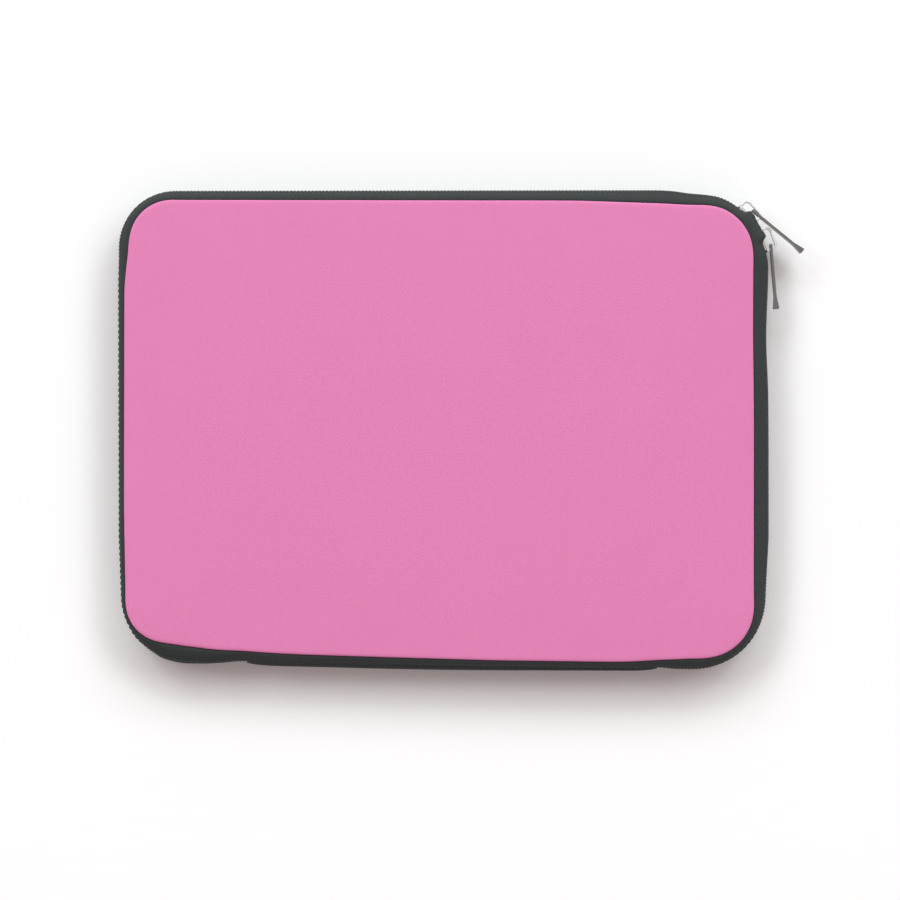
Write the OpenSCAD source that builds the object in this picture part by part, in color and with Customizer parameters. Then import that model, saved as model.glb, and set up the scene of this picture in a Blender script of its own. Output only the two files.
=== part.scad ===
// Padded laptop sleeve: two cushioned halves that open like a book, closed by a zip with two sliders.
// It lies flat with its front up: +X to the right, +Y to the top edge, Z = 0 under the back panel.

/* [Sleeve] */
// Width across the zip teeth
sleeve_w = 345; // [300:1:420]
// Height across the zip teeth
sleeve_h = 255; // [220:1:300]
// Thickness, closed and empty
sleeve_t = 26; // [25:0.5:32]
// Corner radius, outside the zip teeth
corner_r = 42; // [36:1:60]
// Radius of the rolled edge of each half
edge_r = 11.5; // [10.5:0.1:12]

/* [Layers] */
// Thickness of the face fabric and of the edge strip
fabric_t = 1.2; // [0.8:0.1:1.6]
// Thickness of the foam
padding_t = 3; // [2:0.1:4]
// Thickness of the lining
lining_t = 0.8; // [0.5:0.1:1.5]
// Thickness of the spine strip with its folded edges
spine_t = 2.9; // [1.5:0.1:3]

/* [Edge seams] */
// Angle on the rolled edge where the face fabric ends
panel_edge_angle = 45; // [38:1:60]
// Angle on the rolled edge where the foam and the lining end
padding_edge_angle = 35; // [30:1:37]
// Angle on the rolled edge where the edge strip meets the zip tape
tape_edge_angle = 24; // [23:1:28]

/* [Zip] */
// Width of the closed chain
chain_w = 6; // [5:0.1:6.4]
// How far the teeth stand out from the tape
chain_t = 1.8; // [1.2:0.1:2.4]
// Slit between the two halves of the chain
chain_slit = 1.6; // [1.2:0.1:2]
// Thickness of the zip tape
tape_t = 0.8; // [0.5:0.1:1]
// Distance from the middle to the left end of the zip
zip_end_left = 104; // [60:1:125]
// Distance from the middle to the right end of the zip
zip_end_right = 113; // [60:1:125]

/* [Sliders] */
// Angle of the upper slider round the corner
slider_a_angle = 43; // [42.5:0.5:60]
// Angle of the lower slider round the corner
slider_b_angle = 21; // [14:0.5:21.5]
// Length of a slider along the zip
slider_l = 13; // [12.6:0.1:13.4]
// Width of a slider across the zip, at its tail
slider_w = 9; // [8.8:0.1:9.4]
// Thickness of a slider's plates
slider_plate_t = 1.3; // [1:0.1:1.6]
// Thickness of the flanges that hold the chain
slider_flange_t = 1; // [0.6:0.1:1]
// How far the mouth is wider than the tail, on each side
slider_shoulder = 0.6; // [0.2:0.1:1]
// Running clearance between a slider and the zip
slider_gap = 0.35; // [0.3:0.05:0.5]

/* [Bridges] */
// Length of the bridge over a slider
bridge_l = 12.6; // [12:0.1:12.6]
// Height of the bridge over the slider's plate
bridge_h = 5.2; // [5:0.1:6]
// Width of the bridge
bridge_w = 2.6; // [2:0.1:3]
// Thickness of the bridge's strap
bridge_t = 1.2; // [0.8:0.1:1.3]
// Outer radius of the bridge's shoulders
bridge_r = 3; // [2.4:0.1:3.4]

/* [Pulls] */
// Length of a pull from its crossbar to its tip
pull_l = 34; // [24:0.5:38]
// Width of a pull at its tip
pull_w = 7; // [6:0.1:8]
// Thickness of a pull's arms
pull_t = 1.3; // [1:0.1:1.4]
// Thickness of a pull at its flared tip
pull_tip_t = 3; // [2:0.1:3.4]
// Length of the flare at a pull's tip
pull_flare_l = 6.5; // [5:0.5:14]
// Chamfer round a pull's tip
pull_tip_c = 0.4; // [0.2:0.1:0.9]
// Diameter of the crossbar under the bridge
pull_bar_d = 1.5; // [1.45:0.05:1.6]
// Width of each arm beside the bridge
pull_arm_w = 1; // [0.8:0.1:1.4]
// Clearance between the pull and the bridge
pull_gap = 0.4; // [0.3:0.05:0.5]
// How far the upper pull's crossbar hangs from the middle of its bridge
pull_a_along = 0.6; // [0:0.1:3.6]
// How far the lower pull's crossbar hangs from the middle of its bridge
pull_b_along = 3.6; // [1.4:0.1:3.6]
// Angle of the upper pull away from its slider's plate
pull_a_angle = 7.6; // [6.6:0.1:30]
// Angle of the lower pull away from its slider's plate
pull_b_angle = -16.2; // [-17:0.1:10]

/* [Hidden] */
$fn = 96;
half_t = sleeve_t / 2;
arc_x = sleeve_w / 2 - corner_r;
arc_y = sleeve_h / 2 - corner_r;
tape_out = corner_r - chain_t;
roll_at = tape_out - edge_r;
roll_z = half_t - edge_r;
lining_in = fabric_t + padding_t;
wall_t = lining_in + lining_t;
corner_signs = [[1, 1], [-1, 1], [-1, -1], [1, -1]];
tooth_bevel = chain_t / 3;

// How far a flat plate as long as a slider must stay back to clear the zip's curve
slider_sag = tape_out - sqrt(tape_out * tape_out - slider_l * slider_l / 4);
// How far the tape has rolled inwards at the slider's edge
tape_in = edge_r - tape_t;
tape_fall = tape_in - sqrt(tape_in * tape_in - pow(slider_w / 2 - roll_z, 2));
inner_plate_y = tape_out - tape_t - tape_fall - slider_sag - slider_gap;
outer_plate_y = corner_r + slider_gap;
plate_face_y = outer_plate_y + slider_plate_t;
neck_t = chain_slit - 2 * slider_gap;
neck_l = slider_l / 4;
flange_z = chain_w / 2 + slider_gap;
plate_chamfer = slider_plate_t;

bridge_in_l = bridge_l - 2 * bridge_t;
bridge_in_h = bridge_h - bridge_t;
bridge_in_r = bridge_r - bridge_t;
// The upper pull's crossbar hangs under the bridge's strap, the lower one's half way up
pivot_a_y = plate_face_y + bridge_in_h - pull_bar_d / 2 - pull_gap;
pivot_b_y = plate_face_y + bridge_in_h / 2;
eye_w = bridge_w + 2 * pull_gap;
eye_l = bridge_l / 2 - min(pull_a_along, pull_b_along) + 2 * pull_gap;
pull_root_w = eye_w + 2 * pull_arm_w;
pull_eye_end = eye_l + pull_arm_w;

pink = [0.89, 0.52, 0.72];
charcoal = [0.235, 0.26, 0.255];
dark_lining = [0.16, 0.17, 0.17];
foam_grey = [0.55, 0.55, 0.55];
nickel = [0.78, 0.77, 0.75];

// Section of a half: x runs outwards from the corner's centre, y upwards from the middle of the edge

// Part of the rolled edge's ring, between two radii and two angles
module edge_band(r_in, r_out, from, to) {
  reach = 2 * r_out;
  middle = (from + to) / 2;
  translate([roll_at, roll_z])
    intersection() {
      difference() {
        circle(r_out);
        circle(r_in);
      }
      polygon([
        [0, 0],
        reach * [cos(from), sin(from)],
        reach * [cos(middle), sin(middle)],
        reach * [cos(to), sin(to)]
      ]);
    }
}

// A layer of the half: flat over the face, then rolled over the edge down to an angle
module layer_section(depth, thickness, to) {
  translate([0, half_t - depth - thickness])
    square([roll_at, thickness]);
  edge_band(edge_r - depth - thickness, edge_r - depth, to, 90);
}

// The upright stretch between the slit's edge and the start of the roll
module upright(r_in, r_out, from) {
  translate([roll_at + r_in, from])
    square([r_out - r_in, roll_z - from]);
}

module tape_section() {
  edge_band(edge_r - tape_t, edge_r, 0, tape_edge_angle);
  upright(edge_r - tape_t, edge_r, chain_slit / 2);
}

module teeth_section() {
  polygon([
    [tape_out, chain_slit / 2],
    [corner_r - tooth_bevel, chain_slit / 2],
    [corner_r, chain_slit / 2 + tooth_bevel],
    [corner_r, chain_w / 2 - tooth_bevel],
    [corner_r - tooth_bevel, chain_w / 2],
    [tape_out, chain_w / 2]
  ]);
}

// Both halves of a strip that wraps the bottom edge
module wrap_section(r_in, r_out) {
  for (side = [0, 1])
    mirror([0, side]) {
      edge_band(r_in, r_out, 0, tape_edge_angle);
      upright(r_in, r_out, 0);
    }
}

// Sweeps of a section round the sleeve

// A straight run of a section: side 0 is the right, 1 the top, 2 the left, 3 the bottom
module side_run(side, from, to) {
  out = side % 2 == 0 ? arc_x : arc_y;
  rotate(90 * side)
    translate([out, to, 0])
      rotate([90, 0, 0])
        linear_extrude(to - from)
          children();
}

module whole_side(side) {
  run = side % 2 == 0 ? arc_y : arc_x;
  side_run(side, -run, run)
    children();
}

module corner_run(corner) {
  translate([corner_signs[corner][0] * arc_x, corner_signs[corner][1] * arc_y, 0])
    rotate(90 * corner)
      rotate_extrude(angle = 90)
        children();
}

// All the way round the sleeve
module loop() {
  for (i = [0:3]) {
    whole_side(i)
      children();
    corner_run(i)
      children();
  }
}

// Along the zip: all round but for the stretch between its two ends
module zip_run() {
  for (i = [0:2])
    whole_side(i)
      children();
  for (i = [0:3])
    corner_run(i)
      children();
  side_run(3, -arc_x, -zip_end_left)
    children();
  side_run(3, zip_end_right, arc_x)
    children();
}

// A layer's whole tray: the flat middle and the swept edge
module tray(depth, thickness, to) {
  translate([-arc_x, -arc_y, half_t - depth - thickness])
    cube([2 * arc_x, 2 * arc_y, thickness]);
  loop()
    layer_section(depth, thickness, to);
}

module front_half() {
  translate([0, 0, half_t])
    children();
}

module back_half() {
  translate([0, 0, half_t])
    mirror([0, 0, 1])
      children();
}

// Layers of a half

module face_layer() {
  tray(0, fabric_t, panel_edge_angle);
}

// The flat sheet of foam, as wide as the face is flat
module foam_sheet() {
  translate([0, 0, half_t - lining_in])
    linear_extrude(padding_t) {
      square([2 * arc_x, 2 * (arc_y + roll_at)], center = true);
      square([2 * (arc_x + roll_at), 2 * arc_y], center = true);
      for (sign = corner_signs)
        translate([sign[0] * arc_x, sign[1] * arc_y])
          circle(roll_at);
    }
}

// The strip of foam that pads the rolled edge, butted against the sheet
module foam_edge() {
  loop()
    edge_band(edge_r - lining_in, edge_r - fabric_t, padding_edge_angle, 90);
}

module lining_layer() {
  tray(lining_in, lining_t, padding_edge_angle);
}

module edge_strip() {
  loop()
    edge_band(edge_r - fabric_t, edge_r, tape_edge_angle, panel_edge_angle);
}

module binding_strip() {
  loop()
    edge_band(edge_r - wall_t, edge_r - fabric_t, tape_edge_angle, padding_edge_angle);
}

module tape_strip() {
  zip_run()
    tape_section();
}

module teeth_row() {
  zip_run()
    teeth_section();
}

// Sliders: local x runs along the zip towards the bottom, y outwards, z across the zip

module at_zip(angle) {
  translate([arc_x, arc_y, half_t])
    rotate(angle - 90)
      children();
}

// Outline of a plate, with its wide mouth at +x or -x
module plate_outline(width, shoulder, mouth) {
  end = slider_l / 2;
  tail = width / 2;
  wide = tail + shoulder;
  half = [
    [-end, tail - plate_chamfer],
    [plate_chamfer - end, tail],
    [0, tail],
    [end / 2, wide],
    [end - plate_chamfer, wide],
    [end, wide - plate_chamfer]
  ];
  points = concat(half, [for (i = [len(half) - 1:-1:0]) [half[i][0], -half[i][1]]]);
  polygon([for (p = points) [mouth * p[0], p[1]]]);
}

// A plate whose outer face is at y
module plate(y, width, shoulder, mouth) {
  translate([0, y, 0])
    rotate([90, 0, 0])
      linear_extrude(slider_plate_t)
        plate_outline(width, shoulder, mouth);
}

module slider_body(mouth) {
  flange_low = tape_out + slider_gap;
  flange_l = slider_l - 2 * plate_chamfer;
  plate(plate_face_y, slider_w, slider_shoulder, mouth);
  plate(inner_plate_y, slider_w - 2 * slider_gap, 0, mouth);
  for (side = [0, 1])
    mirror([0, 0, side])
      translate([-flange_l / 2, flange_low, flange_z])
        cube([flange_l, outer_plate_y - flange_low, slider_flange_t]);
  // The neck between the two halves of the chain, at the mouth, rooted in both plates
  translate([mouth * neck_l, (inner_plate_y + outer_plate_y) / 2, 0])
    cube([neck_l, outer_plate_y - inner_plate_y + slider_plate_t, neck_t], center = true);
}

// The bridge's outer or inner shape: it stands on y = 0 and has round shoulders
module arch_shape(length, height, radius) {
  intersection() {
    translate([-length / 2, 0])
      square([length, height]);
    union() {
      translate([-length / 2, 0])
        square([length, height - radius]);
      translate([radius - length / 2, 0])
        square([length - 2 * radius, height]);
      for (side = [-1, 1])
        translate([side * (length / 2 - radius), height - radius])
          circle(radius);
    }
  }
}

module slider_bridge() {
  translate([0, plate_face_y, -bridge_w / 2])
    linear_extrude(bridge_w)
      difference() {
        arch_shape(bridge_l, bridge_h, bridge_r);
        arch_shape(bridge_in_l, bridge_in_h, bridge_in_r);
      }
}

// A pull along +x from its crossbar: thin for most of its length, flared in thickness at its tip
module pull_shape() {
  edge = [
    [0, pull_t / 2],
    [pull_l - pull_flare_l, pull_t / 2],
    [pull_l - pull_tip_c, pull_tip_t / 2],
    [pull_l, pull_tip_t / 2 - pull_tip_c]
  ];
  face = [
    [0, pull_root_w / 2],
    [pull_eye_end, pull_root_w / 2],
    [pull_l - pull_tip_c, pull_w / 2],
    [pull_l, pull_w / 2 - pull_tip_c]
  ];
  difference() {
    intersection() {
      linear_extrude(2 * pull_w, center = true)
        polygon(concat(edge, [for (i = [len(edge) - 1:-1:0]) [edge[i][0], -edge[i][1]]]));
      rotate([90, 0, 0])
        linear_extrude(2 * pull_w, center = true)
          polygon(concat(face, [for (i = [len(face) - 1:-1:0]) [face[i][0], -face[i][1]]]));
    }
    translate([-pull_bar_d, -pull_w, -eye_w / 2])
      cube([eye_l + pull_bar_d, 2 * pull_w, eye_w]);
  }
  cylinder(d = pull_bar_d, h = pull_root_w, center = true);
}

module slider_pull(pivot_x, pivot_y, lift) {
  translate([pivot_x, pivot_y, 0])
    rotate(lift)
      pull_shape();
}

// The pieces

module front_panel() {
  color(pink)
    front_half()
      face_layer();
}

module front_padding() {
  color(foam_grey)
    front_half()
      foam_sheet();
}

module front_edge_foam() {
  color(foam_grey)
    front_half()
      foam_edge();
}

module front_lining() {
  color(dark_lining)
    front_half()
      lining_layer();
}

module front_gusset() {
  color(charcoal)
    front_half()
      edge_strip();
}

module front_inner_binding() {
  color(charcoal)
    front_half()
      binding_strip();
}

module front_zip_tape() {
  color(charcoal)
    front_half()
      tape_strip();
}

module front_zip_teeth() {
  color(charcoal)
    front_half()
      teeth_row();
}

module back_panel() {
  color(charcoal)
    back_half()
      face_layer();
}

module back_padding() {
  color(foam_grey)
    back_half()
      foam_sheet();
}

module back_edge_foam() {
  color(foam_grey)
    back_half()
      foam_edge();
}

module back_lining() {
  color(dark_lining)
    back_half()
      lining_layer();
}

module back_gusset() {
  color(charcoal)
    back_half()
      edge_strip();
}

module back_inner_binding() {
  color(charcoal)
    back_half()
      binding_strip();
}

module back_zip_tape() {
  color(charcoal)
    back_half()
      tape_strip();
}

module back_zip_teeth() {
  color(charcoal)
    back_half()
      teeth_row();
}

module spine() {
  color(charcoal)
    translate([0, 0, half_t])
      side_run(3, -zip_end_left, zip_end_right)
        wrap_section(edge_r - fabric_t, edge_r - fabric_t + spine_t);
}

module spine_lining() {
  color(dark_lining)
    translate([0, 0, half_t])
      side_run(3, -zip_end_left, zip_end_right)
        wrap_section(edge_r - fabric_t - lining_t, edge_r - fabric_t);
}

module slider_a_body() {
  color(nickel)
    at_zip(slider_a_angle)
      slider_body(1);
}

module slider_a_bridge() {
  color(nickel)
    at_zip(slider_a_angle)
      slider_bridge();
}

module slider_a_pull() {
  color(nickel)
    at_zip(slider_a_angle)
      slider_pull(pull_a_along, pivot_a_y, pull_a_angle);
}

module slider_b_body() {
  color(nickel)
    at_zip(slider_b_angle)
      slider_body(-1);
}

module slider_b_bridge() {
  color(nickel)
    at_zip(slider_b_angle)
      slider_bridge();
}

module slider_b_pull() {
  color(nickel)
    at_zip(slider_b_angle)
      slider_pull(pull_b_along, pivot_b_y, pull_b_angle);
}

front_panel();
front_padding();
front_edge_foam();
front_lining();
front_gusset();
front_inner_binding();
front_zip_tape();
front_zip_teeth();
back_panel();
back_padding();
back_edge_foam();
back_lining();
back_gusset();
back_inner_binding();
back_zip_tape();
back_zip_teeth();
spine();
spine_lining();
slider_a_body();
slider_a_bridge();
slider_a_pull();
slider_b_body();
slider_b_bridge();
slider_b_pull();
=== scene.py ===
import math

import bmesh
import bpy
import numpy as np
from mathutils.geometry import delaunay_2d_cdt
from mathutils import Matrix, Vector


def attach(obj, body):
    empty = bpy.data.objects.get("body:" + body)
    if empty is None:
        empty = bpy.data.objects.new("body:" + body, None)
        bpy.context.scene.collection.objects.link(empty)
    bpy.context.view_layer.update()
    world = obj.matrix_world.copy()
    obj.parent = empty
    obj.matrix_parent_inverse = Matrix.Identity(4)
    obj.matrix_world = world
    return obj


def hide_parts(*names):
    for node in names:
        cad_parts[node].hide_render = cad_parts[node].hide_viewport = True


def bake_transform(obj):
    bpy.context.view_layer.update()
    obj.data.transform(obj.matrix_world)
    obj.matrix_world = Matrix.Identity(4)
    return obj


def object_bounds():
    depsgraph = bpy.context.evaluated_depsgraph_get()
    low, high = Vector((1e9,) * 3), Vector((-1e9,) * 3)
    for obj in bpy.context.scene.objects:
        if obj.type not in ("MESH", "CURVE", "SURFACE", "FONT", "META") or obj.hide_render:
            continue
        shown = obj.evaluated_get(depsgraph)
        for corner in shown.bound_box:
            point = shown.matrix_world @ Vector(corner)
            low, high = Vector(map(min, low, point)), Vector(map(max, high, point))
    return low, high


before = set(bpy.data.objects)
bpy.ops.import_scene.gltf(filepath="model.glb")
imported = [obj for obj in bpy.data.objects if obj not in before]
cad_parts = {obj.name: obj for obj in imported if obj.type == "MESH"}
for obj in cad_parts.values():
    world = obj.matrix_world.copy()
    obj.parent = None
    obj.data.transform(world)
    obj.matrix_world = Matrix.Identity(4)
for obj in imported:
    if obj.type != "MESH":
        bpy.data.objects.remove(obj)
cadLow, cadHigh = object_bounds()
mm = 0.001
middleZ = (cadLow.z + cadHigh.z) / 2 / mm  # height of the zip, half way up
print("frame loaded")


# Camera, straight above the sleeve

camera = {
    "centre": (3.72, -10.4),  # point of the zip's plane in the middle of the picture, mm
    "width": 479,  # width of the zip's plane that the picture shows, mm
    "lens": 150,
    "sensor": 36,
    "clipEnd": 20,  # metres
}
cameraAbove = camera["width"] * camera["lens"] / camera["sensor"]  # above the zip's plane, mm


def makeCamera():
    lens = bpy.data.cameras.new("camera")
    lens.lens = camera["lens"]
    lens.sensor_width = camera["sensor"]
    lens.clip_end = camera["clipEnd"]
    eye = bpy.data.objects.new("camera", lens)
    x, y = camera["centre"]
    eye.location = (x * mm, y * mm, (middleZ + cameraAbove) * mm)
    bpy.context.scene.collection.objects.link(eye)
    bpy.context.scene.camera = eye


makeCamera()


# Plan of the edge: curves round discs, each (x, y, radius) in mm

plan = {
    "step": 1.25,  # spacing of the stations round the edge
    "hullStep": 0.125,  # turn between the corners of a curve round discs, degrees
    "ease": 6,  # bends of the edge are eased over this length each way
    "zipEnds": (113, -104),  # where the zip goes under the spine, right and left
    "outline": [  # outside of the zip teeth
        (-142, 97, 30.6), (130.6, 85.7, 42.3), (133.05, -20, 40),
        (133.05, -56, 40), (133, -88.4, 38.8), (-134.6, -87.3, 36.6), (-132.3, -55, 40),
    ],
    "face": [  # seam round the pink face, as seen from above
        (-144.5, 100.2, 22.4), (-100, 82.6, 40), (70, 82.3, 40), (138.7, 93.7, 26.4),
        (125.5, 0, 40), (138.6, -94.3, 26.8), (95, -83.1, 40), (30, -82.3, 40),
        (-23, -80.8, 40), (-75, -79.2, 40), (-118, -76.9, 40), (-147.6, -91.6, 21.2),
        (-129.7, -40, 40), (-129.5, 75, 40),
    ],
    "seamFrom": 5,  # the seam is looked for from this far outside the teeth
    "sides": {"bottom": -100, "top": 100, "right": 160},  # y or x where a side of the edge starts
    "dips": [  # where the zip is drawn in: x or y, side, depth, half width
        (-107, "bottom", 1.4, 9), (114, "bottom", 0.8, 6),
        (50, "right", 1.6, 22), (133.5, "top", 2.7, 10.5),
    ],
    "lips": (32, 1.2, 2.4),  # open zip between the sliders: angle, half its flat, half its length
    "folds": [  # edge strip pushed out over the sliders' noses: the same, and how far
        (33, 10.2, 12.6, 2.5), (42, 2, 8, 0.8), (23.4, 1.5, 5, 0.6),
    ],
    "puffs": [  # how far the edge strip swells, and the bands where that starts and is whole
        (0.7, 2.6, 4.6), (1.2, 6.6, 9),
    ],
    "spineBulge": (0.35, 1.6),  # how far the spine stands out at its ends, and more in the middle
}

# Section of the rolled edge, mm
edge = {
    "radius": 11.5,
    "rollIn": 13.3,  # centre of the roll, in from the teeth
    "rollZ": 1.5,  # centre of the roll, above the zip's plane
    "leanFrom": 5.2,  # the front lies to one side above this height
    "square": 4.6,  # 2 makes the roll a circle, more makes it squarer
    "dipReach": 6,  # a dip fades out this far in from the teeth
    "bulgeReach": 8,  # the spine's bulge fades out this far above and below the zip
    "hemIn": 1.6,  # lower edge of the strip, in from the teeth
    "pushed": (4.7, 0.9, 4.5),  # the strip swells from this height, in this rise, up to this far in
    "tapeIn": 1.8,  # outside of the zip tape, in from the teeth
    "fabric": 1.2,
    "foam": 3.0,
    "lining": 0.8,
    "seamSeen": (0.2, 52.5),  # rim of the face as seen from above: below the surface, angle
    "slit": 0.8,  # half the slit between the two tapes
}
foamAt = edge["fabric"]
liningAt = edge["fabric"] + edge["foam"]


def hullCorners(discs):
    turn = np.radians(np.arange(0, 360, plan["hullStep"]))
    way = np.stack([np.cos(turn), np.sin(turn)], 1)
    discs = np.array(discs, float)
    widest = discs[(way @ discs[:, :2].T + discs[:, 2]).argmax(1)]
    return widest[:, :2] + widest[:, 2:] * way


def evenCurve(corners, step):
    closed = np.vstack([corners, corners[:1]])
    run = np.concatenate([[0], np.cumsum(np.linalg.norm(np.diff(closed, axis=0), axis=1))])
    count = round(run[-1] / step)
    at = np.arange(count) * run[-1] / count
    return np.stack([np.interp(at, run, closed[:, k]) for k in (0, 1)], 1)


def cross2(a, b):
    return a[..., 0] * b[..., 1] - a[..., 1] * b[..., 0]


def smoothRound(values, reach):  # mean over neighbours on a closed ring
    return np.mean([np.roll(values, k, 0) for k in range(-reach, reach + 1)], 0)


def smoothStep(x):
    x = np.clip(x, 0, 1)
    return x * x * (3 - 2 * x)


def distanceIn(points, normals, curve):  # along the inward normals to a closed curve
    ahead = np.roll(curve, -1, 0) - curve
    gap = points[:, None] - curve[None]
    with np.errstate(divide="ignore", invalid="ignore"):
        share = cross2(gap, normals[:, None]) / cross2(ahead[None], normals[:, None])
        far = cross2(gap, ahead[None]) / cross2(normals[:, None], ahead[None])
    far[(share < 0) | (share > 1) | (far < -plan["seamFrom"])] = np.inf
    return far.min(1)


def cornerStretch(outline, middle, flat, end):  # 1 on a stretch of the sliders' corner, 0 beyond
    corner = plan["outline"][1]  # the upper right disc
    offset = outline - np.array(corner[:2])
    apart = np.abs(np.degrees(np.arctan2(offset[:, 1], offset[:, 0])) - middle)
    return 1 - smoothStep((apart - flat) / (end - flat))


def bottomStation(outline, x):  # station of the bottom edge that is nearest to x
    low = outline[:, 1] < plan["sides"]["bottom"]
    return np.where(low, np.abs(outline[:, 0] - x), np.inf).argmin()


def layPlan():
    right, left = plan["zipEnds"]
    outline = evenCurve(hullCorners(plan["outline"]), plan["step"])
    outline = np.roll(outline, -bottomStation(outline, right), 0)
    ease = round(plan["ease"] / plan["step"])
    tangent = smoothRound(np.roll(outline, -1, 0) - np.roll(outline, 1, 0), ease // 2)
    tangent /= np.linalg.norm(tangent, axis=1)[:, None]
    normal = np.stack([tangent[:, 1], -tangent[:, 0]], 1)
    gaps = np.linalg.norm(np.diff(np.vstack([outline, outline[:1]]), axis=0), axis=1)
    along = np.concatenate([[0], np.cumsum(gaps)])
    # the seam is nearer to the camera than the zip, so it is drawn in a little
    seamDepth, seamHigh = rollPoint(*edge["seamSeen"])
    centre = np.array(camera["centre"])
    face = evenCurve(hullCorners(plan["face"]), plan["step"])
    face = centre + (face - centre) * (1 - seamHigh / cameraAbove)
    band = smoothRound(distanceIn(outline, normal, face), ease)
    lean = (band - seamDepth) / leanShare(seamHigh)
    x, y = outline.T
    sides = plan["sides"]
    here = {"bottom": y < sides["bottom"], "top": y > sides["top"], "right": x > sides["right"]}
    dip = np.zeros(len(outline))
    for at, side, depth, wide in plan["dips"]:
        run = y if side == "right" else x
        dip += np.where(here[side], depth * np.exp(-(((run - at) / wide) ** 2)), 0)
    out = np.zeros(len(outline))
    for proud, narrow, wide in plan["puffs"]:
        out += proud * smoothStep((band - narrow) / (wide - narrow))
    for middle, flat, end, proud in plan["folds"]:
        out += proud * cornerStretch(outline, middle, flat, end)
    atEnds, inMiddle = plan["spineBulge"]
    spineShare = np.clip((x - left) / (right - left), 0, 1)
    return {
        "point": outline, "normal": normal, "along": along[:-1], "length": along[-1],
        "lean": lean, "dip": dip, "out": out,
        "lips": cornerStretch(outline, *plan["lips"]),
        "bulge": atEnds + inMiddle * np.sin(np.pi * spineShare),
        "last": bottomStation(outline, left),
    }


def rollPoint(depth, angle):  # (in from the teeth, above the zip) on the rolled edge
    c, s = math.cos(math.radians(angle)), math.sin(math.radians(angle))
    power = edge["square"]
    r = (edge["radius"] - depth) / (abs(c) ** power + abs(s) ** power) ** (1 / power)
    return edge["rollIn"] - r * c, edge["rollZ"] + r * s


def leanShare(high):  # how much of the front's sideways lie a height takes
    top = edge["rollZ"] + edge["radius"]
    return np.clip((high - edge["leanFrom"]) / (top - edge["leanFrom"]), 0, 1)


def sunkShare(inward):  # how much of a dip a depth takes
    return np.clip(1 - inward / edge["dipReach"], 0, 1)


def pushedShare(inward, high):  # how far a point of the section follows the edge strip outwards
    low, rise, reach = edge["pushed"]
    over = smoothStep((np.abs(high) - low) / rise)
    return over * np.clip((reach - inward) / (reach - edge["hemIn"]), 0, 1)


ring = layPlan()
stations = len(ring["point"])
allRound = np.arange(stations)
spineRun = np.arange(ring["last"], stations + 1) % stations
print("edge laid out:", stations, "stations,", round(ring["length"]), "mm round")


def sweep(run, section, bulge=None, parting=0):  # stations by points of a section, in mm
    inward, high = np.asarray(section, float).T
    shift = ring["lean"][run][:, None] * leanShare(high)[None]
    sunk = ring["dip"][run][:, None] * sunkShare(inward)[None]
    pushed = ring["out"][run][:, None] * pushedShare(inward, high)[None]
    depth = inward[None] + shift + sunk - pushed
    if bulge is not None:
        depth = depth - bulge[:, None] * np.clip(1 - (high / edge["bulgeReach"]) ** 2, 0, 1)[None]
    flat = ring["point"][run][:, None] - ring["normal"][run][:, None] * depth[..., None]
    fade = (np.abs(high) - edge["slit"]) / (edge["radius"] / 2)
    apart = np.sign(high) * np.clip(1 - fade, 0, 1)
    level = middleZ + high[None] + parting * ring["lips"][run][:, None] * apart[None]
    return np.concatenate([flat, level[..., None]], 2)


def makePiece(name, points, faces):
    mesh = bpy.data.meshes.new(name)
    mesh.from_pydata((np.asarray(points).reshape(-1, 3) * mm).tolist(), [], faces)
    shape = bmesh.new()
    shape.from_mesh(mesh)
    bmesh.ops.recalc_face_normals(shape, faces=shape.faces)
    shape.to_mesh(mesh)
    shape.free()
    mesh.shade_smooth()
    piece = bpy.data.objects.new(name, mesh)
    bpy.context.scene.collection.objects.link(piece)
    return piece


def bandFaces(rows, across, loop):
    faces = []
    for k in range(rows if loop else rows - 1):
        n = (k + 1) % rows
        for j in range(across):
            m = (j + 1) % across
            faces.append((k * across + j, k * across + m, n * across + m, n * across + j))
    if not loop:
        faces.append(tuple(range(across)))
        faces.append(tuple(range((rows - 1) * across, rows * across)))
    return faces


def addMeasure(piece, name, values):  # a length in metres on each point, for ribs and twill
    layer = piece.data.attributes.new(name, "FLOAT", "POINT")
    layer.data.foreach_set("value", (np.asarray(values, np.float32) * mm).ravel())


def makeStrip(name, run, section, parting=0):
    points = sweep(run, section, parting=parting)
    loop = len(run) == stations
    piece = makePiece(name, points, bandFaces(len(run), len(section), loop))
    steps = np.linalg.norm(np.diff(np.asarray(section, float), axis=0), axis=1)
    across = np.concatenate([[0], np.cumsum(steps)])
    along = np.arange(len(run)) * plan["step"]
    addMeasure(piece, "along", np.repeat(along, len(section)))
    addMeasure(piece, "across", np.tile(across, len(run)))
    return piece


def mirrored(section, side):
    return [(inward, side * high) for inward, high in section]


def insideRing(points, corners):  # which points lie inside a closed polygon
    ahead = np.roll(corners, -1, 0)
    x, y = points[:, :1], points[:, 1:]
    spans = (corners[:, 1] > y) != (ahead[:, 1] > y)
    with np.errstate(divide="ignore", invalid="ignore"):
        aside = (y - corners[:, 1]) * (ahead[:, 0] - corners[:, 0])
        crossX = corners[:, 0] + aside / (ahead[:, 1] - corners[:, 1])
    return (spans & (x < crossX)).sum(1) % 2 == 1


flatMesh = {
    "spacing": 5.0,  # of the points in a flat, mm
    "clear": 0.7,  # how far they keep from its rim, as a share of the spacing
    "reach": (180, 135),  # half the size of the field they are taken from
    "merge": 1e-6,
}


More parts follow.
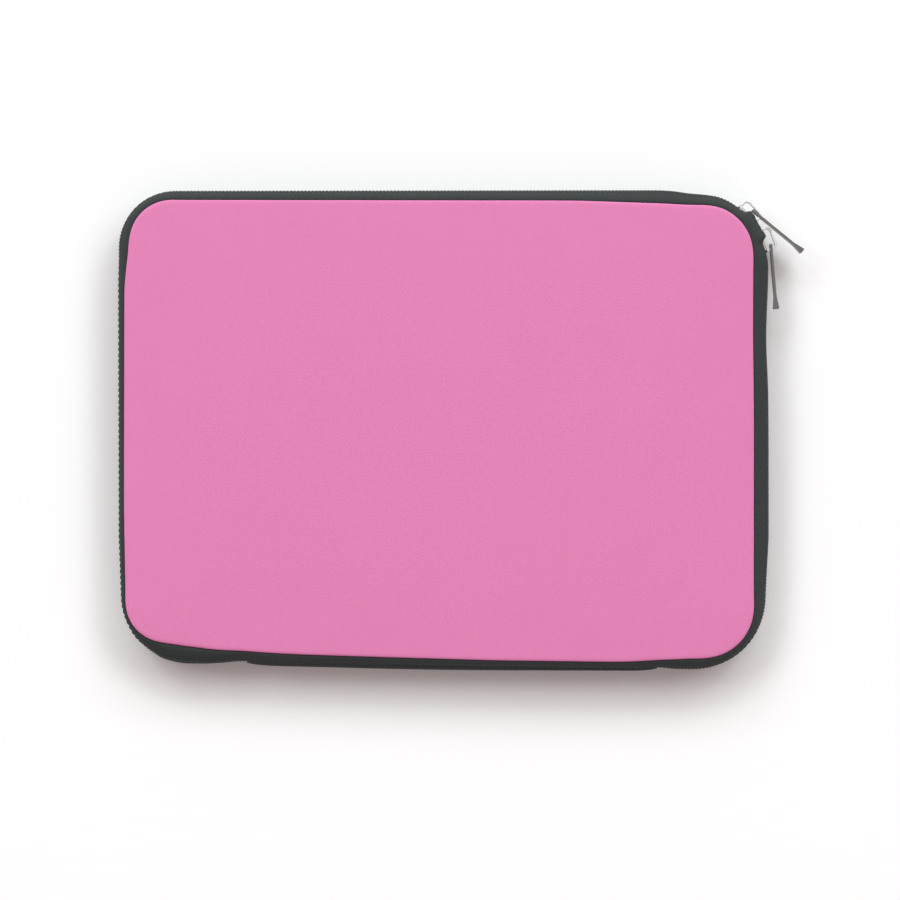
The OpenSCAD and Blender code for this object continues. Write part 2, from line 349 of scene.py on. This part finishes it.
def makeFace(name, side, rings, spacing=flatMesh["spacing"]):  # rings of the roll, then a flat
    section = mirrored([rollPoint(*r) for r in rings], side)
    points = sweep(allRound, section)
    count = len(rings)
    faces = []
    for k in range(stations):
        n = (k + 1) % stations
        for j in range(count - 1):
            faces.append((k * count + j, k * count + j + 1, n * count + j + 1, n * count + j))
    rim = points[:, -1]
    inner = rim[:, :2] - ring["normal"] * spacing * flatMesh["clear"]
    reachX, reachY = flatMesh["reach"]
    xs = np.arange(-reachX, reachX, spacing)
    ys = np.arange(-reachY, reachY, spacing * math.sqrt(3) / 2)
    grid = np.array([(x + (r % 2) * spacing / 2, y) for r, y in enumerate(ys) for x in xs])
    grid = grid[insideRing(grid, inner)]
    flat = np.vstack([rim[:, :2], grid])
    made = delaunay_2d_cdt(flat.tolist(), [], [list(range(stations))], 1, flatMesh["merge"])
    fill, origins = made[2:4]
    level = rim[:, 2].mean()
    number = [k * count + count - 1 for k in range(stations)]
    number += list(range(stations * count, stations * count + len(grid)))
    lookup = [number[origin[0]] for origin in origins]
    faces += [tuple(lookup[v] for v in f) for f in fill]
    rows = np.vstack([points.reshape(-1, 3), np.column_stack([grid, np.full(len(grid), level)])])
    return makePiece(name, rows, faces)


def thicken(piece, thickness):  # inwards from the outer side
    solid = piece.modifiers.new("thickness", "SOLIDIFY")
    solid.thickness = thickness * mm
    solid.offset = -1


def pointUp(piece, side):  # the outer side of the front looks up, of the back down
    level = sum(p.normal.z * p.area for p in piece.data.polygons)
    if level * side < 0:
        piece.data.flip_normals()


# Materials: sizes and depths in metres, spread of the colour, range of the roughness

looks = {
    "knit": {
        "pitch": 0.0009, "slant": 29,  # rows, and their slant each way in degrees
        "fuzzToRow": 3, "fuzzShare": 0.7,  # grains of fuzz to a row, and their part in the relief
        "mottleSize": 0.03, "mottleShares": (0.55, 0.45),  # broad and fine
        "rough": (0.82, 0.98),
    },
    "pile": {"tuft": 0.0006, "brush": 0.02, "spread": 0.25, "rough": (0.85, 1.0), "depth": 0.0005},
    "foam": {"cell": 0.0012, "spread": 0.2, "rough": (0.9, 1.0), "depth": 0.0004},
    "woven": {"fibre": 0.0004, "ribShare": 0.5, "spread": 0.16, "rough": (0.75, 0.95)},
    "nylon": {"grain": 0.0012, "spread": 0.25, "rougher": (-0.08, 0.1), "depth": 0.00005},
    "metal": {
        "cloud": 0.004, "spread": 0.1, "rougher": (-0.08, 0.12),
        "scratch": 0.0004, "stretch": (1, 1, 12), "depth": 0.00002,
    },
}
mixColour = {"factor": 0, "dark": 6, "light": 7, "result": 2}  # the mix node's sockets for colours


def newFinish(name):
    finish = bpy.data.materials.new(name)
    finish.use_nodes = True
    return finish, finish.node_tree.nodes["Principled BSDF"]


def addNode(finish, kind, values=None, **settings):
    made = finish.node_tree.nodes.new(kind)
    for key, value in settings.items():
        setattr(made, key, value)
    for key, value in (values or {}).items():
        if isinstance(value, bpy.types.NodeSocket):
            finish.node_tree.links.new(value, made.inputs[key])
        else:
            made.inputs[key].default_value = value
    return made


def link(finish, source, target):
    finish.node_tree.links.new(source, target)


def place(finish):
    return addNode(finish, "ShaderNodeTexCoord").outputs["Object"]


def turned(finish, degrees):
    values = {"Vector": place(finish), "Rotation": (0, 0, math.radians(degrees))}
    return addNode(finish, "ShaderNodeMapping", values).outputs["Vector"]


def noise(finish, size, detail=2.0, rough=0.5):  # size of the grain in metres
    values = {"Vector": place(finish), "Scale": 1 / size, "Detail": detail, "Roughness": rough}
    return addNode(finish, "ShaderNodeTexNoise", values).outputs["Fac"]


def wave(finish, vector, pitch):  # pitch in metres
    values = {"Vector": vector, "Scale": math.pi / 10 / pitch}  # scale 1 repeats every pi / 10
    settings = {"wave_type": "BANDS", "bands_direction": "X"}
    return addNode(finish, "ShaderNodeTexWave", values, **settings).outputs["Fac"]


def measured(finish, name):  # a length that addMeasure laid on the points
    return addNode(finish, "ShaderNodeAttribute", attribute_name=name).outputs["Fac"]


def sums(finish, kind, a, b):
    return addNode(finish, "ShaderNodeMath", {0: a, 1: b}, operation=kind).outputs[0]


def tint(finish, factor, colour, spread):  # colour a little darker and lighter by a factor
    dark = [c * (1 - spread) for c in colour] + [1]
    light = [c * (1 + spread) for c in colour] + [1]
    mixed = addNode(finish, "ShaderNodeMix", data_type="RGBA")
    mixed.inputs[mixColour["dark"]].default_value = dark
    mixed.inputs[mixColour["light"]].default_value = light
    link(finish, factor, mixed.inputs[mixColour["factor"]])
    return mixed.outputs[mixColour["result"]]


def bump(finish, shader, height, depth):  # depth in metres
    made = addNode(finish, "ShaderNodeBump", {"Height": height, "Distance": depth, "Strength": 1.0})
    link(finish, made.outputs["Normal"], shader.inputs["Normal"])


def remap(finish, value, low, high):
    made = addNode(finish, "ShaderNodeMapRange", {"Value": value, "To Min": low, "To Max": high})
    return made.outputs["Result"]


def knitFinish(name, colour, depth, spread, sheen):
    finish, shader = newFinish(name)
    look = looks["knit"]
    slants = [turned(finish, angle) for angle in (look["slant"], -look["slant"])]
    rows = sums(finish, "MAXIMUM", *(wave(finish, way, look["pitch"]) for way in slants))
    fuzz = noise(finish, look["pitch"] / look["fuzzToRow"], detail=3)
    height = sums(finish, "ADD", rows, sums(finish, "MULTIPLY", fuzz, look["fuzzShare"]))
    broad, fine = look["mottleShares"]
    clouds = sums(finish, "MULTIPLY", noise(finish, look["mottleSize"]), broad)
    mottle = sums(finish, "ADD", clouds, sums(finish, "MULTIPLY", fuzz, fine))
    link(finish, tint(finish, mottle, colour, spread), shader.inputs["Base Color"])
    link(finish, remap(finish, fuzz, *look["rough"]), shader.inputs["Roughness"])
    shader.inputs["Specular IOR Level"].default_value = 0.2
    shader.inputs["Sheen Weight"].default_value = sheen
    shader.inputs["Sheen Roughness"].default_value = 0.5
    bump(finish, shader, height, depth)
    return finish


def pileFinish(name, colour):
    finish, shader = newFinish(name)
    look = looks["pile"]
    tufts = noise(finish, look["tuft"], detail=4, rough=0.7)
    brushed = noise(finish, look["brush"])
    link(finish, tint(finish, brushed, colour, look["spread"]), shader.inputs["Base Color"])
    link(finish, remap(finish, tufts, *look["rough"]), shader.inputs["Roughness"])
    shader.inputs["Sheen Weight"].default_value = 0.35
    shader.inputs["Sheen Roughness"].default_value = 0.4
    bump(finish, shader, tufts, look["depth"])
    return finish


def foamFinish(name, colour):
    finish, shader = newFinish(name)
    look = looks["foam"]
    values = {"Vector": place(finish), "Scale": 1 / look["cell"]}
    cells = addNode(finish, "ShaderNodeTexVoronoi", values).outputs["Distance"]
    link(finish, tint(finish, cells, colour, look["spread"]), shader.inputs["Base Color"])
    link(finish, remap(finish, cells, *look["rough"]), shader.inputs["Roughness"])
    bump(finish, shader, cells, look["depth"])
    return finish


def wovenFinish(name, colour, pitch, lean, depth):  # ribs across a strip, slanted by lean
    finish, shader = newFinish(name)
    look = looks["woven"]
    line = measured(finish, "along")
    if lean:
        aside = sums(finish, "MULTIPLY", measured(finish, "across"), lean)
        line = sums(finish, "ADD", line, aside)
    ribs = sums(finish, "SINE", sums(finish, "MULTIPLY", line, 2 * math.pi / pitch), 0.0)
    fibre = noise(finish, look["fibre"], detail=3)
    height = sums(finish, "ADD", sums(finish, "MULTIPLY", ribs, look["ribShare"]), fibre)
    shade = remap(finish, height, 0.0, 1.0)  # kept between 0 and 1
    link(finish, tint(finish, shade, colour, look["spread"]), shader.inputs["Base Color"])
    link(finish, remap(finish, fibre, *look["rough"]), shader.inputs["Roughness"])
    shader.inputs["Specular IOR Level"].default_value = 0.3
    bump(finish, shader, height, depth)
    return finish


def nylonFinish(name, colour, rough):
    finish, shader = newFinish(name)
    look = looks["nylon"]
    grain = noise(finish, look["grain"], detail=3)
    link(finish, tint(finish, grain, colour, look["spread"]), shader.inputs["Base Color"])
    span = [rough + more for more in look["rougher"]]
    link(finish, remap(finish, grain, *span), shader.inputs["Roughness"])
    bump(finish, shader, grain, look["depth"])
    return finish


def metalFinish(name, colour, rough):
    finish, shader = newFinish(name)
    shader.inputs["Metallic"].default_value = 1.0
    look = looks["metal"]
    cloud = noise(finish, look["cloud"], detail=4, rough=0.6)
    values = {"Vector": place(finish), "Scale": look["stretch"]}
    stretched = addNode(finish, "ShaderNodeMapping", values).outputs["Vector"]
    values = {"Vector": stretched, "Scale": 1 / look["scratch"], "Detail": 3.0}
    scratch = addNode(finish, "ShaderNodeTexNoise", values).outputs["Fac"]
    link(finish, tint(finish, cloud, colour, look["spread"]), shader.inputs["Base Color"])
    span = [rough + more for more in look["rougher"]]
    link(finish, remap(finish, cloud, *span), shader.inputs["Roughness"])
    bump(finish, shader, scratch, look["depth"])
    return finish


finishes = {
    "face": knitFinish(
        "pinkKnit", (0.775, 0.236, 0.481), depth=0.00006, spread=0.03, sheen=0.04,
    ),
    "edge": knitFinish(
        "charcoalKnit", (0.0385, 0.0445, 0.044), depth=0.0001, spread=0.14, sheen=0.05,
    ),
    "lining": pileFinish("darkPile", (0.03, 0.033, 0.035)),
    "foam": foamFinish("greyFoam", (0.26, 0.26, 0.26)),
    "binding": wovenFinish(
        "ribbedBinding", (0.036, 0.04, 0.04), pitch=0.0011, lean=0.0, depth=0.00018,
    ),
    "tape": wovenFinish("twillTape", (0.04, 0.044, 0.044), pitch=0.0009, lean=1.0, depth=0.00012),
    "coil": nylonFinish("nylonCoil", (0.035, 0.038, 0.038), rough=0.42),
    "thread": nylonFinish("sewingThread", (0.04, 0.046, 0.045), rough=0.7),
    "metal": metalFinish("wornNickel", (0.6, 0.585, 0.56), rough=0.24),
    # painted shade: the pulls are the sliders' nickel with the base colour darkened to stand for
    # the shade they show from above
    "pull": metalFinish("nickelWithPaintedShade", (0.15, 0.142, 0.137), rough=0.3),
}
print("finishes made:", len(finishes))


def dress(piece, finish, slotName):
    piece.data.materials.clear()
    piece.data.materials.append(finishes[finish])


halves = {"front": (1, "front_cover"), "back": (-1, "back")}


# Faces: the pink front, crowned by simulation, and the charcoal back

facePanel = {
    "rings": [  # (below the surface, angle on the roll) from the seam inwards
        (0.42, 52.2), (0, 52.8), (-0.15, 54), (-0.19, 56.5), (-0.14, 61), (-0.05, 66),
        (0, 71), (0, 76), (0, 81), (0, 86), (0, 90),
    ],
    "heldRings": 4,  # rings that the seam holds
    "crown": 1.3,  # how far the middle rises
    "frames": 20,
    "cloth": {
        "quality": 5, "mass": 0.2, "vertex_group_mass": "seam",
        "tension_stiffness": 40, "compression_stiffness": 40, "bending_stiffness": 5,
        "use_pressure": True, "uniform_pressure_force": 4,
    },
    "flat": (0.356, 0.266),  # cut size
    "dressed": {"front": ("face", "face_fabric"), "back": ("edge", "edge_fabric")},
}


def simulateCrown(piece):
    rest = np.array([v.co for v in piece.data.vertices])
    count = len(facePanel["rings"])
    held = [k * count + j for k in range(stations) for j in range(facePanel["heldRings"])]
    piece.vertex_groups.new(name="seam").add(held, 1.0, "REPLACE")
    cloth = piece.modifiers.new("cloth", "CLOTH")
    for setting, value in facePanel["cloth"].items():
        setattr(cloth.settings, setting, value)
    cloth.settings.effector_weights.gravity = 0
    cloth.point_cache.frame_start = 1
    cloth.point_cache.frame_end = facePanel["frames"]
    scene = bpy.context.scene
    for f in range(1, facePanel["frames"] + 1):
        scene.frame_set(f)
    solved = piece.evaluated_get(bpy.context.evaluated_depsgraph_get()).to_mesh()
    moved = np.array([v.co for v in solved.vertices]) - rest
    piece.modifiers.remove(cloth)
    scene.frame_set(1)
    most = np.abs(moved[:, 2]).max()
    share = min(1.0, facePanel["crown"] * mm / most) if most > 0 else 0
    piece.data.vertices.foreach_set("co", (rest + moved * share).astype(np.float32).ravel())
    piece.data.update()
    print("crown of", piece.name, "moved", round(most / mm, 2), "mm, kept", round(share, 3))


def makePanel(half):
    side, body = halves[half]
    piece = makeFace(half + "Panel", side, facePanel["rings"])
    pointUp(piece, side)
    if half == "front":
        simulateCrown(piece)
    thicken(piece, edge["fabric"])
    dress(piece, *facePanel["dressed"][half])
    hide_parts(half + "_panel")
    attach(piece, body)


# Foam: a flat sheet and a strip in the rolled edge

foam = {
    "gap": 0.05,  # to the layers beside it
    "spacing": 9.0,
    "edgeFrom": 37,  # where the strip starts on the roll, degrees
    "edgeSteps": 9,
    "fill": 0.9,
}


def makeFoam(half):
    side, body = halves[half]
    outer, inner = foamAt + foam["gap"], liningAt - foam["gap"]
    sheet = makeFace(half + "Padding", side, [(outer, 90)], foam["spacing"])
    pointUp(sheet, side)
    thicken(sheet, inner - outer)
    angles = np.linspace(foam["edgeFrom"], 90, foam["edgeSteps"])
    section = [rollPoint(outer, a) for a in angles] + [rollPoint(inner, a) for a in angles[::-1]]
    strip = makeStrip(half + "EdgeFoam", allRound, mirrored(section, side))
    for piece, node in ((sheet, "_padding"), (strip, "_edge_foam")):
        dress(piece, "foam", "foam")
        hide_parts(half + node)
        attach(piece, body)


# Lining of the pocket

lining = {
    "rings": [(liningAt, a) for a in (36.5, 42, 48, 54, 60, 66, 72, 78, 84, 90)],
    "flat": (0.344, 0.254),
}


def makeLining(half):
    side, body = halves[half]
    piece = makeFace(half + "Lining", side, lining["rings"])
    pointUp(piece, side)
    thicken(piece, edge["lining"])
    dress(piece, "lining", "lining")
    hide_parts(half + "_lining")
    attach(piece, body)


# Strips round the edge, each with its section as (below the surface, angle on the roll)

strips = {
    "gusset": {
        "section": [
            (-0.05, 21.6), (-0.36, 22.4), (-0.46, 24.5), (-0.3, 28), (-0.1, 33), (0, 38),
            (0, 42), (0, 46), (0.12, 49.4), (0.5, 51.2), (1.0, 52), (1.6, 51.4),
            (1.3, 46), (1.2, 40), (1.1, 34), (0.95, 29), (0.75, 25), (0.4, 21.8),
        ],
        "flat": (0.012, 1.1), "area": 0.0082,
    },
    "binding": {
        "section": [
            (1.45, 24.8), (1.27, 26), (1.27, 33), (1.45, 35.3), (3.2, 36.4), (5.0, 36.6), (5.3, 34),
            (5.35, 30), (5.2, 26), (4.8, 23.6), (3.2, 23.2),
        ],
        "flat": (0.02, 1.09), "area": 0.0075,
    },
    "tape": {
        "outer": [(0, 6), (0, 12), (0.05, 17), (0.35, 20), (0.6, 24), (0.65, 27)],
        "inner": [(1.4, 27), (1.3, 24), (1.05, 20), (0.8, 14), (0.8, 7)],
        "thick": 0.8,
        "tuck": 6,  # how far its ends run on under the spine
        "flat": (0.014, 0.93), "area": 0.0055,
    },
}


def makeGusset(half):
    side, body = halves[half]
    section = [rollPoint(*p) for p in strips["gusset"]["section"]]
    piece = makeStrip(half + "Gusset", allRound, mirrored(section, side))
    dress(piece, "edge", "edge_fabric")
    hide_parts(half + "_gusset")
    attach(piece, body)


def makeBinding(half):
    side, body = halves[half]
    section = [rollPoint(*p) for p in strips["binding"]["section"]]
    piece = makeStrip(half + "InnerBinding", allRound, mirrored(section, side))
    dress(piece, "binding", "binding")
    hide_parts(half + "_inner_binding")
    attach(piece, body)


def makeTape(half):
    side, body = halves[half]
    tape = strips["tape"]
    outside, inside = edge["tapeIn"], edge["tapeIn"] + tape["thick"]
    section = [(outside, edge["slit"]), (outside, edge["rollZ"])]
    section += [rollPoint(*p) for p in tape["outer"] + tape["inner"]]
    section += [(inside, edge["rollZ"]), (inside, edge["slit"])]
    tuck = round(tape["tuck"] / plan["step"])
    under = np.arange(-tuck, ring["last"] + tuck + 1) % stations
    piece = makeStrip(half + "ZipTape", under, mirrored(section, side), parting=coil["openBy"])
    dress(piece, "tape", "zip_tape")
    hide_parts(half + "_zip_tape")
    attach(piece, body)


# Zip coil and thread: tubes that follow the edge

def edgeAt(along, inward, high):  # points by length along the edge, depth in and height
    along = np.mod(along, ring["length"])
    run = np.append(ring["along"], ring["length"])

    def read(values):
        return np.interp(along, run, np.append(values, values[0]))

    normal = np.stack([read(ring["normal"][:, k]) for k in (0, 1)], -1)
    point = np.stack([read(ring["point"][:, k]) for k in (0, 1)], -1)
    normal /= np.linalg.norm(normal, axis=-1)[..., None]
    depth = inward + read(ring["lean"]) * leanShare(high) + read(ring["dip"]) * sunkShare(inward)
    depth = depth - read(ring["out"]) * pushedShare(inward, high)
    flat = point - normal * depth[..., None]
    return np.concatenate([flat, (middleZ + high)[..., None]], -1), normal


def tube(path, radius, guide, sides):  # guide is a direction across the path at each point
    ahead = np.gradient(path, axis=0)
    ahead /= np.linalg.norm(ahead, axis=1)[:, None]
    first = guide - ahead * (guide * ahead).sum(1)[:, None]
    first /= np.linalg.norm(first, axis=1)[:, None]
    second = np.cross(ahead, first)
    turn = np.arange(sides) * 2 * math.pi / sides
    c, s = np.cos(turn)[None, :, None], np.sin(turn)[None, :, None]
    rim = first[:, None] * c + second[:, None] * s
    points = path[:, None] + rim * np.asarray(radius).reshape(-1, 1, 1)
    return points.reshape(-1, 3), bandFaces(len(path), sides, False)


def joined(parts):
    points, faces, offset = [], [], 0
    for found, sides in parts:
        points.append(found)
        faces += [tuple(v + offset for v in f) for f in sides]
        offset += len(found)
    return np.vstack(points), faces


coil = {
    "pitch": 1.9,
    "wire": 0.84,
    "across": (-0.42, 2.86),  # the loops' reach from the zip's middle
    "out": (0.42, 1.36),  # the loops' legs, in from the teeth
    "steps": 12,  # points on a loop
    "moveOn": (0.6, 0.8),  # a loop moves on from this many half turns, within this many more
    "offset": {"front": 0, "back": 0.5},  # the halves interlock, in pitches
    "sides": 6,
    "openBy": 1.8,  # how far each half is drawn from the middle between the sliders
}


def makeCoil(half):
    side, body = halves[half]
    loops = int(ring["along"][ring["last"]] / coil["pitch"])
    step = np.arange(loops * coil["steps"])
    turn = step * 2 * math.pi / coil["steps"]
    within = np.mod(turn, 2 * math.pi) / math.pi
    start, over = coil["moveOn"]
    advance = step // coil["steps"] + smoothStep((within - start) / over)
    along = coil["pitch"] * (advance + coil["offset"][half])
    low, high = coil["across"]
    level = (low + high) / 2 - (high - low) / 2 * np.cos(turn)
    level = level + coil["openBy"] * np.interp(along, ring["along"], ring["lips"])
    near, far = coil["out"]
    inward = (near + far) / 2 - (far - near) / 2 * np.sin(turn)
    path, normal = edgeAt(along, inward, side * level)
    guide = np.stack([-normal[:, 1], normal[:, 0], np.zeros(len(normal))], 1)
    points, faces = tube(path, np.full(len(path), coil["wire"] / 2), guide, coil["sides"])
    piece = makePiece(half + "ZipCoil", points, faces)
    dress(piece, "coil", "zip_teeth")
    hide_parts(half + "_zip_teeth")
    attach(piece, body)


thread = {
    "length": 2.5,
    "pitch": 3.1,
    "wire": 0.5,
    "sides": 6,
    "bend": np.array([0.0, 0.06, 0.22, 0.5, 0.78, 0.94, 1.0]),  # points along a stitch
    "dive": np.array([0.5, 0.1, -0.1, -0.16, -0.1, 0.1, 0.5]),  # its ends go into the cloth
    "rows": {  # (below the surface, angle on the roll, way into the cloth)
        "EdgeStitching": (-0.28, 28.5, 1),
        "BindingStitching": (5.36, 30, -1),
    },
}


def makeStitches(half, row):
    side, body = halves[half]
    depth, angle, way = thread["rows"][row]
    count = int(ring["length"] / thread["pitch"])
    inward, high = np.array([rollPoint(depth + way * d, angle) for d in thread["dive"]]).T
    parts = []
    for k in range(count):
        along = k * thread["pitch"] + thread["bend"] * thread["length"]
        path, normal = edgeAt(along, inward, side * high)
        guide = np.column_stack([normal, np.zeros(len(normal))])
        parts.append(tube(path, np.full(len(path), thread["wire"] / 2), guide, thread["sides"]))
    piece = makePiece(half + row, *joined(parts))
    dress(piece, "thread", "edge_fabric")
    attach(piece, body)


# Spine: the fabric hinge along the bottom

spine = {
    "outer": [  # (below the surface, angle on the roll) from its edge to the zip's plane
        (-0.1, 29.6), (-0.75, 27.6), (-1.25, 24.6), (-1.55, 19), (-1.68, 12), (-1.7, 5), (-1.7, 0),
    ],
    "thick": [0.35, 0.8, 1.15, 1.35, 1.4, 1.4, 1.4],
    "liningOuter": [(1.2, 23), (1.2, 16), (1.2, 8), (1.2, 0)],
    "endShares": [0.3, 0.65, 0.9],  # the ends are pressed thinner
    "foldZ": (6.5, 19.5),  # where it starts and ends to turn with the cover
    "flat": (0.022, 0.222), "area": 0.0036,
    "liningFlat": (0.02, 0.222), "liningArea": 0.0026,
}


def wrapSection(front):  # a section and its mirror image below the zip
    return front + [(inward, -high) for inward, high in front[::-1]]


def makeSpine():
    outer = wrapSection([rollPoint(*p) for p in spine["outer"]])
    rows = zip(spine["outer"], spine["thick"])
    inner = wrapSection([rollPoint(depth + thick, angle) for (depth, angle), thick in rows])
    section = outer + inner[::-1]
    points = sweep(spineRun, section, ring["bulge"][spineRun])
    middle = (points[:, :len(outer)] + points[:, :len(outer) - 1:-1]) / 2
    core = np.concatenate([middle, middle[:, ::-1]], 1)
    for k, share in enumerate(spine["endShares"]):
        for row in (k, -1 - k):
            points[row] = core[row] + (points[row] - core[row]) * share
    piece = makePiece("spineStrip", points, bandFaces(len(spineRun), len(section), False))
    dress(piece, "edge", "edge_fabric")
    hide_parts("spine")
    liningOut = wrapSection([rollPoint(*p) for p in spine["liningOuter"]])
    liningIn = wrapSection([rollPoint(d + edge["lining"], a) for d, a in spine["liningOuter"]])
    backing = makeStrip("spineLining", spineRun, liningOut + liningIn[::-1])
    dress(backing, "lining", "lining")
    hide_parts("spine_lining")
    for cloth in (piece, backing):
        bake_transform(cloth)


# Sliders and pulls: the CAD solids with softened edges

metal = {
    "body": {"soften": 0.3, "finish": "metal"},
    "bridge": {"soften": 0.35, "finish": "metal"},
    # the pulls take the nickel with painted shade, darker than the sliders' own
    "pull": {"soften": 0.3, "finish": "pull"},
    "segments": 3,
    "profile": 0.5,  # round
    "sharp": 25,  # edges sharper than this are softened, degrees
    "level": 2,  # faces that meet flatter than this are joined, degrees
    "merge": 1e-6,
}


def makeMetal(slider, part):
    node = slider + "_" + part
    words = node.split("_")
    name = words[0] + "".join(w.capitalize() for w in words[1:])
    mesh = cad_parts[node].data.copy()
    mesh.name = name
    shape = bmesh.new()
    shape.from_mesh(mesh)
    bmesh.ops.remove_doubles(shape, verts=shape.verts, dist=metal["merge"])
    level, steep = math.radians(metal["level"]), math.radians(metal["sharp"])
    bmesh.ops.dissolve_limit(shape, angle_limit=level, verts=shape.verts, edges=shape.edges)
    sharp = [e for e in shape.edges if e.is_manifold and e.calc_face_angle() > steep]
    bmesh.ops.bevel(
        shape, geom=sharp, offset=metal[part]["soften"] * mm, segments=metal["segments"],
        profile=metal["profile"], affect="EDGES", clamp_overlap=True,
    )
    bmesh.ops.recalc_face_normals(shape, faces=shape.faces)
    shape.to_mesh(mesh)
    shape.free()
    if "custom_normal" in mesh.attributes:
        mesh.attributes.remove(mesh.attributes["custom_normal"])
    mesh.shade_smooth()
    piece = bpy.data.objects.new(name, mesh)
    bpy.context.scene.collection.objects.link(piece)
    weighted = piece.modifiers.new("weighted", "WEIGHTED_NORMAL")
    weighted.keep_sharp = True
    dress(piece, metal[part]["finish"], "slider_metal")
    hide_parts(node)
    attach(piece, slider if part != "pull" else slider.replace("slider", "pull"))


for half in halves:
    makeFoam(half)
    makePanel(half)
    makeLining(half)
    makeGusset(half)
    makeBinding(half)
    makeTape(half)
    makeCoil(half)
    for row in thread["rows"]:
        makeStitches(half, row)
    print(half, "half made")
makeSpine()
print("spine made")
for slider in ("slider_a", "slider_b"):
    for part in ("body", "bridge", "pull"):
        makeMetal(slider, part)
print("sliders made")


# Floor and light

stage = {
    "white": (1, 1, 1, 1),
    "floorSize": 40,
    "floorBelow": 0.0002,  # under the part, metres
    "floorColour": (0.96, 0.96, 0.96, 1),
    "floorGlow": 0.07,  # shown to the camera and in reflections, so that the floor is white
    "worldColour": (0.37, 0.285, 0.28, 1),
    "boxes": [  # azimuth from the top edge, elevation, share of the light
        (-52, 46, 0.18), (-22, 36, 0.2), (22, 36, 0.2), (52, 46, 0.17),
    ],
    "boxFar": 14,
    "boxSize": (8.4, 4.7),
    "boxColour": (0.9, 0.995, 1.0),
}


def seenRays(tree):  # 1 for what the camera, a reflection or a clear thing sees
    path = tree.nodes.new("ShaderNodeLightPath")
    total = path.outputs["Is Camera Ray"]
    for ray in ("Is Glossy Ray", "Is Transmission Ray"):
        either = tree.nodes.new("ShaderNodeMath")
        either.operation = "MAXIMUM"
        tree.links.new(total, either.inputs[0])
        tree.links.new(path.outputs[ray], either.inputs[1])
        total = either.outputs[0]
    return total


def makeFloor():
    bpy.ops.mesh.primitive_plane_add(size=stage["floorSize"])
    floor = bpy.context.object
    floor.name = "floor"
    floor.location.z = cadLow.z - stage["floorBelow"]
    finish, shader = newFinish("paleFloor")
    shader.inputs["Base Color"].default_value = stage["floorColour"]
    shader.inputs["Roughness"].default_value = 1.0
    shader.inputs["Specular IOR Level"].default_value = 0.0
    shader.inputs["Emission Color"].default_value = stage["white"]
    glow = sums(finish, "MULTIPLY", seenRays(finish.node_tree), stage["floorGlow"])
    link(finish, glow, shader.inputs["Emission Strength"])
    floor.data.materials.append(finish)


def makeWorld():
    world = bpy.data.worlds.new("studio")
    bpy.context.scene.world = world
    world.use_nodes = True
    tree = world.node_tree
    mixed = tree.nodes.new("ShaderNodeMix")
    mixed.data_type = "RGBA"
    mixed.inputs[mixColour["dark"]].default_value = stage["worldColour"]
    mixed.inputs[mixColour["light"]].default_value = stage["white"]
    tree.links.new(seenRays(tree), mixed.inputs[mixColour["factor"]])
    shown = mixed.outputs[mixColour["result"]]
    tree.links.new(shown, tree.nodes["Background"].inputs["Color"])


def makeLights():
    reach = stage["boxFar"]
    for azimuth, elevation, share in stage["boxes"]:
        turn, high = math.radians(azimuth), math.radians(elevation)
        lamp = bpy.data.lights.new("softbox", "AREA")
        lamp.shape = "RECTANGLE"
        lamp.size, lamp.size_y = stage["boxSize"]
        lamp.color = stage["boxColour"]
        lamp.energy = share * math.pi ** 2 * reach ** 2 / math.sin(high)
        box = bpy.data.objects.new("softbox", lamp)
        away = reach * math.cos(high)
        box.location = (away * math.sin(turn), away * math.cos(turn), reach * math.sin(high))
        box.rotation_euler = (math.radians(90) - high, 0, math.pi - turn)
        bpy.context.scene.collection.objects.link(box)


makeFloor()
makeWorld()
makeLights()
bpy.context.scene.view_settings.view_transform = "Standard"
print("stage set")
